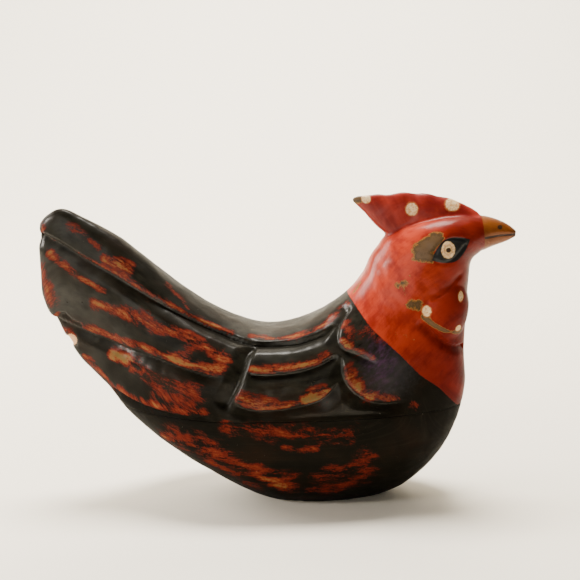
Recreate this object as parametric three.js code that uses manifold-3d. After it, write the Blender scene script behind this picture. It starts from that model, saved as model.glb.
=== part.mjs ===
// A carved wooden box in the form of a hen: a hollow hull closed by a lid that carries the back,
// the tail, the neck and the head. Sizes in millimetres, Z up, the beak toward +X, the box standing
// on z = 0 with the middle of its length on the origin.
import * as THREE from 'three';
import Module from 'manifold-3d';
import { LoftGeometry } from 'three/addons/geometries/LoftGeometry.js';
import { mergeVertices } from 'three/addons/utils/BufferGeometryUtils.js';

// Overall size and the parting between lid and hull.
const LENGTH = 300;
const SEAM_Z = 62;
const SEAM_GAP = 0.3;

// Walls and the locating lip that drops into the mouth of the hull.
const HULL_WALL = 9;
const LIP_CLEARANCE = 0.6;
const LIP_WIDTH = 4;
const LIP_HEIGHT = 4;
const LID_WALL = HULL_WALL + LIP_CLEARANCE + LIP_WIDTH;
const LID_HOLLOW_HEIGHT = 36;
const BOWL_FULLNESS = 0.85;
const DOME_FLATNESS = 2.6;

// Carving: depth under the surface, width of the steep side and of the long sloping side.
const STEEP_SIDE = 0.8;
const FEATHER_DEPTH = 3;
const FEATHER_SLOPE = 9;
const WING_END_DEPTH = 3.6;
const UNDERSIDE_DEPTH = 2.4;
const UNDERSIDE_SLOPE = 5;
const WATTLE_SLOPE = 6;
const LINE_DEPTH = 1.4;
const LINE_SLOPE = 3.5;
const EYE_SLOPE = 2;
const MOUTH_DEPTH = 0.8;
const MOUTH_SLOPE = 1;

// How far each line's ends run out, as a share of its length, and the depth left at the very end.
const FADE = 0.12;
const END_DEPTH = 0.08;

// How far the cutting shapes stand clear of the face they cut through, and the least size left at
// the two ends of a hollow.
const CUTTER_RISE = 2.5;
const CUT_PAST = 1;
const LEAST = 1;

// Fineness of the skin.
const RINGS = 50;
const RING_POINTS = 28;
const COMB_RINGS = 15;
const COMB_POINTS = 12;
const WATTLE_AROUND = 14;
const WATTLE_DOWN = 9;
const LINE_STEPS = 12;
const EYE_STEPS = 8;
const MOUTH_STEPS = 5;
const PROBES = 120;
const HOLLOW_RINGS = 20;
const HOLLOW_POINTS = 11;

// The form from the tail to the beak, in shares of the length. Each row is one section: the upper
// end and the lower end of its chord (x, z), half its width, how square it is, and how far up the
// chord it is widest.
const FORM = [
  [-0.5, 0.58, -0.498, 0.44, 0.006, 2.0, 0],
  [-0.485, 0.603, -0.484, 0.4, 0.015, 2.6, 0],
  [-0.449, 0.62, -0.453, 0.355, 0.025, 2.8, -0.05],
  [-0.405, 0.602, -0.415, 0.296, 0.036, 2.8, -0.1],
  [-0.34, 0.567, -0.365, 0.245, 0.054, 2.7, -0.15],
  [-0.283, 0.523, -0.325, 0.196, 0.079, 2.5, -0.2],
  [-0.217, 0.468, -0.276, 0.152, 0.112, 2.4, -0.2],
  [-0.143, 0.415, -0.205, 0.1, 0.149, 2.3, -0.1],
  [-0.067, 0.38, -0.12, 0.045, 0.163, 2.3, 0.05],
  [-0.007, 0.371, -0.033, 0.0, 0.162, 2.3, 0.1],
  [0.05, 0.384, 0.06, -0.016, 0.157, 2.3, 0.1],
  [0.107, 0.413, 0.16, -0.013, 0.149, 2.2, 0.05],
  [0.15, 0.447, 0.26, 0.013, 0.134, 2.1, 0],
  [0.178, 0.483, 0.335, 0.075, 0.114, 2.1, 0],
  [0.193, 0.516, 0.38, 0.15, 0.098, 2.1, 0],
  [0.208, 0.54, 0.402, 0.24, 0.09, 2.1, 0],
  [0.225, 0.563, 0.397, 0.325, 0.084, 2.1, 0],
  [0.255, 0.582, 0.399, 0.41, 0.078, 2.2, 0],
  [0.295, 0.597, 0.401, 0.475, 0.073, 2.3, 0],
  [0.34, 0.608, 0.405, 0.512, 0.064, 2.3, 0],
  [0.383, 0.611, 0.422, 0.528, 0.051, 2.2, 0],
  [0.42, 0.607, 0.436, 0.535, 0.037, 2.1, 0.05],
  [0.452, 0.6, 0.456, 0.543, 0.028, 2.0, 0.1],
  [0.48, 0.588, 0.478, 0.551, 0.019, 2.0, 0.1],
  [0.5, 0.573, 0.498, 0.561, 0.008, 2.0, 0.1],
];

// The comb, the same kind of rows.
const COMB = [
  [0.156, 0.643, 0.156, 0.634, 0.004, 2, 0],
  [0.18, 0.65, 0.18, 0.612, 0.011, 2, -0.2],
  [0.217, 0.651, 0.213, 0.578, 0.016, 2, -0.3],
  [0.26, 0.655, 0.252, 0.555, 0.02, 2, -0.4],
  [0.307, 0.653, 0.3, 0.565, 0.024, 2, -0.4],
  [0.353, 0.644, 0.347, 0.575, 0.025, 2, -0.4],
  [0.393, 0.628, 0.387, 0.58, 0.022, 2, -0.3],
  [0.42, 0.612, 0.417, 0.585, 0.014, 2, -0.2],
];

// Carved lines in side view (x, z), in shares of the length. The raised feather lies on the left
// of each line as it is walked.
const BACK_BAND = [
  [-0.51, 0.574], [-0.465, 0.556], [-0.41, 0.527], [-0.306, 0.472], [-0.19, 0.413], [-0.076, 0.364],
  [-0.025, 0.354], [0.027, 0.357], [0.068, 0.367], [0.109, 0.386], [0.155, 0.431],
];
const TAIL_BAND = [[-0.5, 0.398], [-0.369, 0.356], [-0.246, 0.327], [-0.158, 0.306], [-0.104, 0.296]];
const TAIL_UNDERSIDE = [[-0.345, 0.243], [-0.284, 0.224], [-0.205, 0.215], [-0.124, 0.216]];
const WING_END = [[-0.031, 0.352], [-0.056, 0.345], [-0.067, 0.315], [-0.087, 0.271], [-0.11, 0.23]];
const FIRST_FEATHER = [[-0.062, 0.305], [-0.014, 0.303], [0.047, 0.309], [0.097, 0.325], [0.13, 0.347]];
const SECOND_FEATHER = [
  [-0.09, 0.263], [-0.08, 0.245], [-0.054, 0.233], [0, 0.232], [0.06, 0.242], [0.097, 0.256],
  [0.134, 0.294],
];
const THIRD_FEATHER = [[-0.054, 0.229], [-0.014, 0.218], [0.041, 0.217], [0.14, 0.22], [0.252, 0.215]];
const UPPER_SHOULDER = [
  [0.155, 0.427], [0.132, 0.405], [0.121, 0.37], [0.132, 0.351], [0.172, 0.335], [0.213, 0.314],
];
const LOWER_SHOULDER = [[0.132, 0.347], [0.134, 0.298], [0.16, 0.261], [0.21, 0.237], [0.284, 0.238]];
const WATTLE_EDGE = [[0.29, 0.407], [0.317, 0.379], [0.353, 0.35], [0.39, 0.337], [0.415, 0.337]];
const MOUTH = [[0.43, 0.563], [0.461, 0.567], [0.51, 0.567]];
const EYE_LOWER = [[0.316, 0.53], [0.325, 0.52], [0.34, 0.516], [0.366, 0.532], [0.39, 0.561]];
const EYE_UPPER = [[0.39, 0.561], [0.366, 0.566], [0.343, 0.564], [0.326, 0.55], [0.316, 0.53]];

// The wattle on one side of the throat: centre, half sizes and lean, in shares of the length.
const WATTLE_CENTRE = [0.333, 0.032, 0.41];
const WATTLE_HALF = [0.066, 0.064, 0.084];
const WATTLE_LEAN = 0.3;

const COLOURS = { lid: 0x2b2a22, base: 0x241f1a };

const wasm = await Module();
wasm.setup();

// Only the points and the faces of a shape.
function bareShape(geometry) {
  const bare = new THREE.BufferGeometry();
  bare.setAttribute('position', geometry.attributes.position.clone());
  bare.setIndex(geometry.index.clone());
  return bare;
}

function toSolid(geometry) {
  const merged = mergeVertices(bareShape(geometry), 1e-4);
  const mesh = new wasm.Mesh({
    numProp: 3,
    vertProperties: new Float32Array(merged.attributes.position.array),
    triVerts: new Uint32Array(merged.index.array),
  });
  return new wasm.Manifold(mesh);
}

function toGeometry(solid) {
  const mesh = solid.getMesh();
  const geometry = new THREE.BufferGeometry();
  geometry.setAttribute('position', new THREE.BufferAttribute(mesh.vertProperties, 3));
  geometry.setIndex(new THREE.BufferAttribute(mesh.triVerts, 1));
  geometry.computeVertexNormals();
  return geometry;
}

// The same shape on the other side of the middle plane.
function mirrored(geometry) {
  const twin = bareShape(geometry);
  twin.scale(1, -1, 1);
  const corner = twin.index.array;
  for (let i = 0; i < corner.length; i += 3) {
    [corner[i + 1], corner[i + 2]] = [corner[i + 2], corner[i + 1]];
  }
  return twin;
}

// A smooth row of values through a table of rows.
function smoothRow(rows, share) {
  const place = share * (rows.length - 1);
  const i = Math.min(Math.floor(place), rows.length - 2);
  const t = place - i;
  const before = rows[Math.max(i - 1, 0)];
  const after = rows[Math.min(i + 2, rows.length - 1)];
  return rows[i].map((a, k) => {
    const b = rows[i + 1][k];
    const slopeA = (b - before[k]) / 2;
    const slopeB = (after[k] - a) / 2;
    const t2 = t * t;
    const t3 = t2 * t;
    return a * (2 * t3 - 3 * t2 + 1) + slopeA * (t3 - 2 * t2 + t)
      + b * (3 * t2 - 2 * t3) + slopeB * (t3 - t2);
  });
}

// One section of the form: a rounded outline between the two ends of its chord.
function section([topX, topZ, lowX, lowZ, half, square, widest], count) {
  const points = [];
  for (let i = 0; i < count; i += 1) {
    const angle = (2 * Math.PI * i) / count;
    const power = 2 / square;
    const up = Math.sign(Math.cos(angle)) * Math.abs(Math.cos(angle)) ** power;
    const out = Math.sign(Math.sin(angle)) * Math.abs(Math.sin(angle)) ** power;
    const along = (1 + up + widest * (1 - up * up)) / 2;
    points.push(new THREE.Vector3(
      LENGTH * (lowX + (topX - lowX) * along),
      -LENGTH * half * out,
      LENGTH * (lowZ + (topZ - lowZ) * along),
    ));
  }
  return points;
}

function formOf(rows, rings, count) {
  const sections = [];
  for (let i = 0; i < rings; i += 1) {
    sections.push(section(smoothRow(rows, i / (rings - 1)), count));
  }
  return new LoftGeometry(sections, { closed: true, capStart: true, capEnd: true });
}

const formGeometry = formOf(FORM, RINGS, RING_POINTS);
const skin = new THREE.Mesh(formGeometry, new THREE.MeshBasicMaterial({ side: THREE.DoubleSide }));
const caster = new THREE.Raycaster();

// Where a straight line meets the uncut skin first.
function meet(origin, direction) {
  caster.set(origin, direction);
  return caster.intersectObject(skin)[0];
}

// The right-hand surface under a line drawn in side view, with its outward normal.
function onSkin(line, steps) {
  const curve = new THREE.CatmullRomCurve3(
    line.map(([x, z]) => new THREE.Vector3(x * LENGTH, 0, z * LENGTH)),
  );
  const toward = new THREE.Vector3(0, 1, 0);
  const found = curve.getSpacedPoints(steps).map((point) => {
    const hit = meet(new THREE.Vector3(point.x, -LENGTH, point.z), toward);
    if (hit) {
      const normal = hit.face.normal.clone();
      if (normal.y > 0) normal.negate();
      return { point: new THREE.Vector3(point.x, hit.point.y, point.z), normal };
    }
    return { point, normal: null };
  });
  let carried = found.find((item) => item.normal);
  for (const item of found) {
    if (item.normal) {
      carried = item;
    } else {
      item.point.y = carried.point.y;
      item.normal = carried.normal;
    }
  }
  return found;
}

// A cutter for one carved line: deepest under the line, steep toward the raised feather on its
// left, and sloping out on its right. The ends fade out over the named shares of its length.
function cutter(line, { depth, slope, fadeIn = FADE, fadeOut = FADE, steps = LINE_STEPS }) {
  const spots = onSkin(line, steps);
  const sections = spots.map(({ point, normal }, i) => {
    const before = spots[Math.max(i - 1, 0)].point;
    const after = spots[Math.min(i + 1, spots.length - 1)].point;
    const along = after.clone().sub(before).normalize();
    const left = normal.clone().cross(along).normalize();
    const out = along.clone().cross(left).normalize();
    const share = i / (spots.length - 1);
    const fade = Math.min(
      1,
      fadeIn > 0 ? END_DEPTH + share / fadeIn : 1,
      fadeOut > 0 ? END_DEPTH + (1 - share) / fadeOut : 1,
    );
    const place = (side, rise) => point.clone().addScaledVector(left, side).addScaledVector(out, rise);
    const spread = (depth * fade + CUTTER_RISE) / depth;
    return [
      place(0, -depth * fade),
      place(STEEP_SIDE * spread, CUTTER_RISE),
      place(-slope * spread, CUTTER_RISE),
    ];
  });
  return new LoftGeometry(sections, { closed: true, capStart: true, capEnd: true });
}

function carve(solid, line, options) {
  const near = cutter(line, options);
  return solid.subtract(toSolid(near)).subtract(toSolid(mirrored(near)));
}

const feather = { depth: FEATHER_DEPTH, slope: FEATHER_SLOPE };
const fine = { depth: LINE_DEPTH, slope: LINE_SLOPE };
const eyelid = { depth: LINE_DEPTH, slope: EYE_SLOPE, steps: EYE_STEPS };
const lips = { depth: MOUTH_DEPTH, slope: MOUTH_SLOPE, steps: MOUTH_STEPS, fadeOut: 0 };

let bird = toSolid(formGeometry).add(toSolid(formOf(COMB, COMB_RINGS, COMB_POINTS)));
const wattle = new THREE.SphereGeometry(1, WATTLE_AROUND, WATTLE_DOWN);
wattle.rotateX(Math.PI / 2);
wattle.scale(...WATTLE_HALF.map((share) => share * LENGTH));
wattle.rotateY(WATTLE_LEAN);
wattle.translate(...WATTLE_CENTRE.map((share) => share * LENGTH));
bird = bird.add(toSolid(wattle)).add(toSolid(mirrored(wattle)));
bird = carve(bird, BACK_BAND, { ...feather, fadeIn: 0 });
bird = carve(bird, TAIL_BAND, { ...feather, fadeIn: 0 });
bird = carve(bird, WING_END, { ...feather, depth: WING_END_DEPTH });
bird = carve(bird, FIRST_FEATHER, feather);
bird = carve(bird, SECOND_FEATHER, feather);
bird = carve(bird, THIRD_FEATHER, fine);
bird = carve(bird, UPPER_SHOULDER, feather);
bird = carve(bird, LOWER_SHOULDER, feather);
bird = carve(bird, TAIL_UNDERSIDE, { depth: UNDERSIDE_DEPTH, slope: UNDERSIDE_SLOPE, fadeIn: 0 });
bird = carve(bird, WATTLE_EDGE, { ...feather, slope: WATTLE_SLOPE, fadeOut: 0 });
bird = carve(bird, MOUTH, lips);
bird = carve(bird, EYE_LOWER, eyelid);
bird = carve(bird, EYE_UPPER, eyelid);

function block(zLow, zHigh) {
  const geometry = new THREE.BoxGeometry(2 * LENGTH, LENGTH, zHigh - zLow);
  geometry.translate(0, 0, (zLow + zHigh) / 2);
  return toSolid(geometry);
}

// A row of points moved in across its own run by a wall.
function movedIn(row, wall) {
  return row.map(([x, v], i) => {
    const [ax, av] = row[Math.max(i - 1, 0)];
    const [bx, bv] = row[Math.min(i + 1, row.length - 1)];
    const run = Math.hypot(bx - ax, bv - av);
    return [x + (wall * (bv - av)) / run, v - (wall * (bx - ax)) / run];
  });
}

// The height of a row of points at x.
function heightAt(row, x) {
  const i = Math.max(row.findIndex(([far]) => far >= x), 1);
  const [ax, av] = row[i - 1];
  const [bx, bv] = row[i];
  return av + ((bv - av) * (x - ax)) / (bx - ax);
}

// The hollow inside a wall, read off the uncut form: its outline at the seam and its lowest line
// under the seam, both moved in. Gives rows of x, half width and floor height.
function insideOf(wall) {
  const plan = [];
  const keel = [];
  for (let i = 0; i < PROBES; i += 1) {
    const x = LENGTH * ((i + 0.5) / PROBES - 0.5);
    const side = meet(new THREE.Vector3(x, -LENGTH, SEAM_Z), new THREE.Vector3(0, 1, 0));
    const under = meet(new THREE.Vector3(x, LEAST / LENGTH, -LENGTH), new THREE.Vector3(0, 0, 1));
    if (side && side.point.y < 0 && under && under.point.z < SEAM_Z) {
      plan.push([x, -side.point.y]);
      keel.push([x, Math.max(under.point.z, 0)]);
    }
  }
  const half = movedIn(plan, wall).filter(([, v]) => v > 0);
  const floor = movedIn(keel, -wall).filter(([, v]) => v < SEAM_Z);
  const from = Math.max(half[0][0], floor[0][0]);
  const to = Math.min(half[half.length - 1][0], floor[floor.length - 1][0]);
  return Array.from({ length: HOLLOW_RINGS }, (_, i) => {
    const x = (from + to) / 2 - ((to - from) / 2) * Math.cos((Math.PI * i) / (HOLLOW_RINGS - 1));
    return [x, Math.max(heightAt(half, x), LEAST), Math.min(heightAt(floor, x), SEAM_Z - LEAST)];
  });
}

// A half-round hollow along x between the seam and each row's height, with straight sides carried
// on past the seam, where it opens.
function hollow(rows, power, past) {
  const sections = rows.map(([x, half, height]) => {
    const toward = Math.sign(SEAM_Z - height);
    const points = [];
    for (let i = 0; i <= HOLLOW_POINTS; i += 1) {
      const angle = (Math.PI * i) / HOLLOW_POINTS;
      const out = -Math.sign(Math.cos(angle)) * Math.abs(Math.cos(angle)) ** power;
      const share = Math.abs(Math.sin(angle)) ** power;
      points.push(new THREE.Vector3(x, toward * half * out, SEAM_Z + (height - SEAM_Z) * share));
    }
    points.push(new THREE.Vector3(x, toward * half, SEAM_Z + toward * past));
    points.push(new THREE.Vector3(x, -toward * half, SEAM_Z + toward * past));
    return points;
  });
  return toSolid(new LoftGeometry(sections, { closed: true, capStart: true, capEnd: true }));
}

// The bowl under the seam.
function bowl(wall) {
  return hollow(insideOf(wall), BOWL_FULLNESS, LIP_HEIGHT);
}

// The dome inside the lid, lower toward both ends.
function dome(wall) {
  const rows = insideOf(wall);
  const from = rows[0][0];
  const to = rows[rows.length - 1][0];
  const arched = rows.map(([x, half]) => {
    const share = Math.min(Math.abs((2 * x - from - to) / (to - from)), 1);
    const height = LID_HOLLOW_HEIGHT * Math.sqrt(1 - share ** DOME_FLATNESS);
    return [x, half, SEAM_Z + Math.max(height, LEAST)];
  });
  return hollow(arched, 1, LIP_HEIGHT + CUT_PAST);
}

const base = bird
  .intersect(block(0, SEAM_Z))
  .subtract(bowl(HULL_WALL));
const lip = bowl(HULL_WALL + LIP_CLEARANCE)
  .intersect(block(SEAM_Z - LIP_HEIGHT, SEAM_Z + SEAM_GAP + CUT_PAST));
const lid = bird
  .intersect(block(SEAM_Z + SEAM_GAP, LENGTH))
  .add(lip)
  .subtract(dome(LID_WALL));

const group = new THREE.Group();
group.name = 'bird_box';

function piece(name, solid, colour) {
  const material = new THREE.MeshStandardMaterial({ color: colour, roughness: 0.4, metalness: 0 });
  const mesh = new THREE.Mesh(toGeometry(solid), material);
  mesh.name = name;
  group.add(mesh);
}

piece('lid', lid, COLOURS.lid);
piece('base', base, COLOURS.base);

export default group;
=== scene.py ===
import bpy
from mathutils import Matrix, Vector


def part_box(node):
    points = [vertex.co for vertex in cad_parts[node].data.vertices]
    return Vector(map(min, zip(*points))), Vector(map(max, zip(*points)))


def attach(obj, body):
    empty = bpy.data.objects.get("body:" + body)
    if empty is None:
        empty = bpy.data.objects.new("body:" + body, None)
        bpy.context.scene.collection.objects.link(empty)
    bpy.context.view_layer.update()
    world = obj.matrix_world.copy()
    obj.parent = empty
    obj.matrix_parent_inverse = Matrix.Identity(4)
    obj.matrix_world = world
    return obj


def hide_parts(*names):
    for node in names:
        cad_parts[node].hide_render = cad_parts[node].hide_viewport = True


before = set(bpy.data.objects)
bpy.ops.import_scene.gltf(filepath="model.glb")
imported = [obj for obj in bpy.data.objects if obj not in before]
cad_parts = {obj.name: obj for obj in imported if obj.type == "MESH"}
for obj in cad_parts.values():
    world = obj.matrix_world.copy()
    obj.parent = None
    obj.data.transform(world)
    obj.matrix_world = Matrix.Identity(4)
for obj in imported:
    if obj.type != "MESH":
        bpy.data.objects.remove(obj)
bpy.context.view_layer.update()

import math

import bmesh
import bpy
import numpy as np
from mathutils import Vector, noise
from mathutils.bvhtree import BVHTree
from mathutils.kdtree import KDTree

MM = 0.001
lid_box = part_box("lid")
hull_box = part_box("base")
length = lid_box[1].x - lid_box[0].x
seam_z = hull_box[1].z

# The block. Lid and hull are carved together out of one billet of light wood, so the feathers and
# the paint run on across the seam. The form is a row of sections from the tail to the beak, in
# shares of the length; the comb and the two wattles are part of the same block.
form_sections = np.array([
    # top x, top z, low x, low z, half width, squareness, height of the widest point
    [-0.500, 0.580, -0.498, 0.440, 0.006, 2.0, 0.00],
    [-0.485, 0.603, -0.484, 0.400, 0.015, 2.6, 0.00],
    [-0.449, 0.620, -0.453, 0.355, 0.025, 2.8, -0.05],
    [-0.405, 0.602, -0.415, 0.296, 0.036, 2.8, -0.10],
    [-0.340, 0.567, -0.365, 0.245, 0.054, 2.7, -0.15],
    [-0.283, 0.523, -0.325, 0.196, 0.079, 2.5, -0.20],
    [-0.217, 0.468, -0.276, 0.152, 0.112, 2.4, -0.20],
    [-0.143, 0.415, -0.205, 0.100, 0.149, 2.3, -0.10],
    [-0.067, 0.380, -0.120, 0.045, 0.163, 2.3, 0.05],
    [-0.007, 0.371, -0.033, 0.000, 0.162, 2.3, 0.10],
    [0.050, 0.384, 0.060, -0.016, 0.157, 2.3, 0.10],
    [0.107, 0.413, 0.160, -0.013, 0.149, 2.2, 0.05],
    [0.150, 0.447, 0.260, 0.013, 0.134, 2.1, 0.00],
    [0.178, 0.483, 0.335, 0.075, 0.114, 2.1, 0.00],
    [0.193, 0.516, 0.380, 0.150, 0.098, 2.1, 0.00],
    [0.208, 0.540, 0.402, 0.240, 0.090, 2.1, 0.00],
    [0.225, 0.563, 0.397, 0.325, 0.084, 2.1, 0.00],
    [0.255, 0.582, 0.399, 0.410, 0.078, 2.2, 0.00],
    [0.295, 0.597, 0.401, 0.475, 0.073, 2.3, 0.00],
    [0.340, 0.608, 0.405, 0.512, 0.064, 2.3, 0.00],
    [0.383, 0.611, 0.422, 0.528, 0.051, 2.2, 0.00],
    [0.420, 0.607, 0.436, 0.535, 0.037, 2.1, 0.05],
    [0.452, 0.600, 0.456, 0.543, 0.028, 2.0, 0.10],
    [0.480, 0.588, 0.478, 0.551, 0.019, 2.0, 0.10],
    [0.500, 0.573, 0.498, 0.561, 0.008, 2.0, 0.10],
])
comb_sections = np.array([
    [0.156, 0.643, 0.156, 0.634, 0.004, 2.0, 0.0],
    [0.180, 0.650, 0.180, 0.612, 0.011, 2.0, -0.2],
    [0.217, 0.651, 0.213, 0.578, 0.016, 2.0, -0.3],
    [0.260, 0.655, 0.252, 0.555, 0.020, 2.0, -0.4],
    [0.307, 0.653, 0.300, 0.565, 0.024, 2.0, -0.4],
    [0.353, 0.644, 0.347, 0.575, 0.025, 2.0, -0.4],
    [0.393, 0.628, 0.387, 0.580, 0.022, 2.0, -0.3],
    [0.420, 0.612, 0.417, 0.585, 0.014, 2.0, -0.2],
])
wattle_centre = np.array([0.333, 0.032, 0.410]) * length
wattle_half = np.array([0.066, 0.064, 0.084]) * length
wattle_lean = 0.3
skin_pitch = 1.0 * MM


def smooth_rows(rows, count):
    """Rows on a smooth curve through the given ones."""
    place = np.linspace(0, len(rows) - 1, count)
    i = np.minimum(place.astype(int), len(rows) - 2)
    t = (place - i)[:, None]
    a, b = rows[i], rows[i + 1]
    slope_a = (b - rows[np.maximum(i - 1, 0)]) / 2
    slope_b = (rows[np.minimum(i + 2, len(rows) - 1)] - a) / 2
    return (
        a * (2 * t**3 - 3 * t**2 + 1)
        + slope_a * (t**3 - 2 * t**2 + t)
        + b * (3 * t**2 - 2 * t**3)
        + slope_b * (t**3 - t**2)
    )


def loft(rings):
    """A closed skin over a row of equal rings of points."""
    count, around = rings.shape[:2]
    faces = []
    for ring in range(count - 1):
        for step in range(around):
            a = ring * around + step
            b = ring * around + (step + 1) % around
            faces.append((a, b, b + around, a + around))
    faces.append(tuple(range(around))[::-1])
    faces.append(tuple(range((count - 1) * around, count * around)))
    return rings.reshape(-1, 3), faces


def skin_of(rows, count, around):
    """A closed skin over a table of sections."""
    rows = smooth_rows(rows, count)[:, None, :]
    angle = np.linspace(0, 2 * np.pi, around, endpoint=False)[None, :]
    power = 2 / rows[..., 5]
    up = np.sign(np.cos(angle)) * np.abs(np.cos(angle)) ** power
    out = np.sign(np.sin(angle)) * np.abs(np.sin(angle)) ** power
    along = (1 + up + rows[..., 6] * (1 - up * up)) / 2
    x = rows[..., 2] + (rows[..., 0] - rows[..., 2]) * along
    y = -rows[..., 4] * out
    z = rows[..., 3] + (rows[..., 1] - rows[..., 3]) * along
    return loft(np.stack([x, y, z], -1) * length)


def lobe(centre, half, lean, side):
    """A leaning oval, on the left of the bird (1) or on its right (-1)."""
    sphere = bmesh.new()
    bmesh.ops.create_uvsphere(sphere, u_segments=48, v_segments=32, radius=1)
    points = np.array([v.co for v in sphere.verts]) * half
    faces = [tuple(v.index for v in f.verts) for f in sphere.faces]
    sphere.free()
    turned = points.copy()
    turned[:, 0] = points[:, 0] * math.cos(lean) + points[:, 2] * math.sin(lean)
    turned[:, 2] = points[:, 2] * math.cos(lean) - points[:, 0] * math.sin(lean)
    return (turned + centre) * (1, side, 1), faces


def mesh_from(parts):
    """One mesh of several closed skins, all facing outward."""
    points, faces = [], []
    for part_points, part_faces in parts:
        shift = sum(len(p) for p in points)
        points.append(part_points)
        faces += [tuple(i + shift for i in face) for face in part_faces]
    mesh = bpy.data.meshes.new("in_work")
    mesh.from_pydata(np.concatenate(points).tolist(), [], faces)
    work = bmesh.new()
    work.from_mesh(mesh)
    bmesh.ops.recalc_face_normals(work, faces=work.faces)
    work.to_mesh(mesh)
    work.free()
    return mesh


def placed(name, data):
    """A new object of that name in the scene."""
    made = bpy.data.objects.new(name, data)
    bpy.context.scene.collection.objects.link(made)
    return made


def with_modifiers(mesh, modifiers):
    """The mesh as a row of modifiers leaves it."""
    piece = placed("in_work", mesh)
    for kind, settings in modifiers:
        modifier = piece.modifiers.new(kind, kind)
        for key, value in settings.items():
            setattr(modifier, key, value)
    seen = piece.evaluated_get(bpy.context.evaluated_depsgraph_get())
    made = bpy.data.meshes.new_from_object(seen)
    bpy.data.objects.remove(piece)
    return made


def vectors(items, field):
    """A field of vectors, one row for each vertex."""
    found = np.empty(len(items) * 3, np.float32)
    items.foreach_get(field, found)
    return found.reshape(-1, 3).astype(float)


def coordinates(mesh):
    return vectors(mesh.vertices, "co")


def normals_of(mesh):
    return vectors(mesh.vertex_normals, "vector")


body_rings, body_around = 260, 150
comb_rings, comb_around = 90, 60
body_skin = skin_of(form_sections, body_rings, body_around)
bird = with_modifiers(
    mesh_from([
        body_skin,
        skin_of(comb_sections, comb_rings, comb_around),
        lobe(wattle_centre, wattle_half, wattle_lean, 1),
        lobe(wattle_centre, wattle_half, wattle_lean, -1),
    ]),
    [
        ("REMESH", {"mode": "VOXEL", "voxel_size": skin_pitch}),
        ("SMOOTH", {"factor": 0.5, "iterations": 5}),
    ],
)

# The carving. Each line is a V cut with a knife: steep against the feather that lies on top, on
# the left of the line as it is walked, and sloping away from the feather underneath. After the
# points: depth and slope in mm, and the shares over which both ends run out.
carved_lines = {
    "back band": ([(-0.51, 0.574), (-0.465, 0.556), (-0.41, 0.527), (-0.306, 0.472), (-0.19, 0.413),
                   (-0.076, 0.364), (-0.025, 0.354), (0.027, 0.357), (0.068, 0.367),
                   (0.109, 0.386), (0.155, 0.431)], 3.0, 9.0, 0.0, 0.12),
    "tail band": ([(-0.5, 0.398), (-0.369, 0.356), (-0.246, 0.327), (-0.158, 0.306),
                   (-0.104, 0.296)], 3.0, 9.0, 0.0, 0.12),
    "tail underside": ([(-0.345, 0.243), (-0.284, 0.224), (-0.205, 0.215), (-0.124, 0.216)],
                       2.4, 5.0, 0.0, 0.12),
    "wing end": ([(-0.031, 0.352), (-0.056, 0.345), (-0.067, 0.315), (-0.087, 0.271),
                  (-0.11, 0.23)], 3.6, 9.0, 0.12, 0.12),
    "first feather": ([(-0.062, 0.305), (-0.014, 0.303), (0.047, 0.309), (0.097, 0.325),
                       (0.13, 0.347)], 3.0, 9.0, 0.12, 0.12),
    "second feather": ([(-0.09, 0.263), (-0.08, 0.245), (-0.054, 0.233), (0.0, 0.232),
                        (0.06, 0.242), (0.097, 0.256), (0.134, 0.294)], 3.0, 9.0, 0.12, 0.12),
    "third feather": ([(-0.054, 0.229), (-0.014, 0.218), (0.041, 0.217), (0.14, 0.22),
                       (0.252, 0.215)], 1.4, 3.5, 0.12, 0.12),
    "upper shoulder": ([(0.155, 0.427), (0.132, 0.405), (0.121, 0.37), (0.132, 0.351),
                        (0.172, 0.335), (0.213, 0.314)], 3.0, 9.0, 0.12, 0.25),
    "lower shoulder": ([(0.132, 0.347), (0.134, 0.298), (0.16, 0.261), (0.21, 0.237),
                        (0.284, 0.238)], 3.0, 9.0, 0.12, 0.25),
    "wattle edge": ([(0.29, 0.407), (0.317, 0.379), (0.353, 0.35), (0.39, 0.337),
                     (0.415, 0.337)], 3.0, 6.0, 0.12, 0.0),
    "wattle crease": ([(0.385, 0.499), (0.349, 0.463), (0.308, 0.441)], 1.6, 4.0, 0.2, 0.25),
    "mouth": ([(0.43, 0.563), (0.461, 0.567), (0.51, 0.567)], 0.8, 1.0, 0.12, 0.0),
    "lower eyelid": ([(0.316, 0.53), (0.325, 0.52), (0.34, 0.516), (0.366, 0.532),
                      (0.39, 0.561)], 1.2, 2.0, 0.12, 0.12),
    "upper eyelid": ([(0.39, 0.561), (0.366, 0.566), (0.343, 0.564), (0.326, 0.55),
                      (0.316, 0.53)], 1.2, 2.0, 0.12, 0.12),
}
deep_cut = 2
steep_side = 1.1 * MM
past_end, end_fade = 1.0 * MM, 1.5 * MM
worn_round = {"wing end": 4.0 * MM, "upper shoulder": 2.8 * MM, "lower shoulder": 2.0 * MM}


def unit(rows):
    """Each row made one long."""
    return rows / np.linalg.norm(rows, axis=1)[:, None]


def smooth_line(points, step=0.8 * MM):
    """Even steps along a smooth line through points given in shares of the length."""
    points = np.array(points) * length
    dense = smooth_rows(points, 40 * len(points))
    gap = np.linalg.norm(np.diff(dense, axis=0), axis=1)
    run = np.concatenate([[0], np.cumsum(gap)])
    stops = np.linspace(0, run[-1], max(int(run[-1] / step), 8))
    return np.stack([np.interp(stops, run, dense[:, k]) for k in range(2)], -1)


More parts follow.
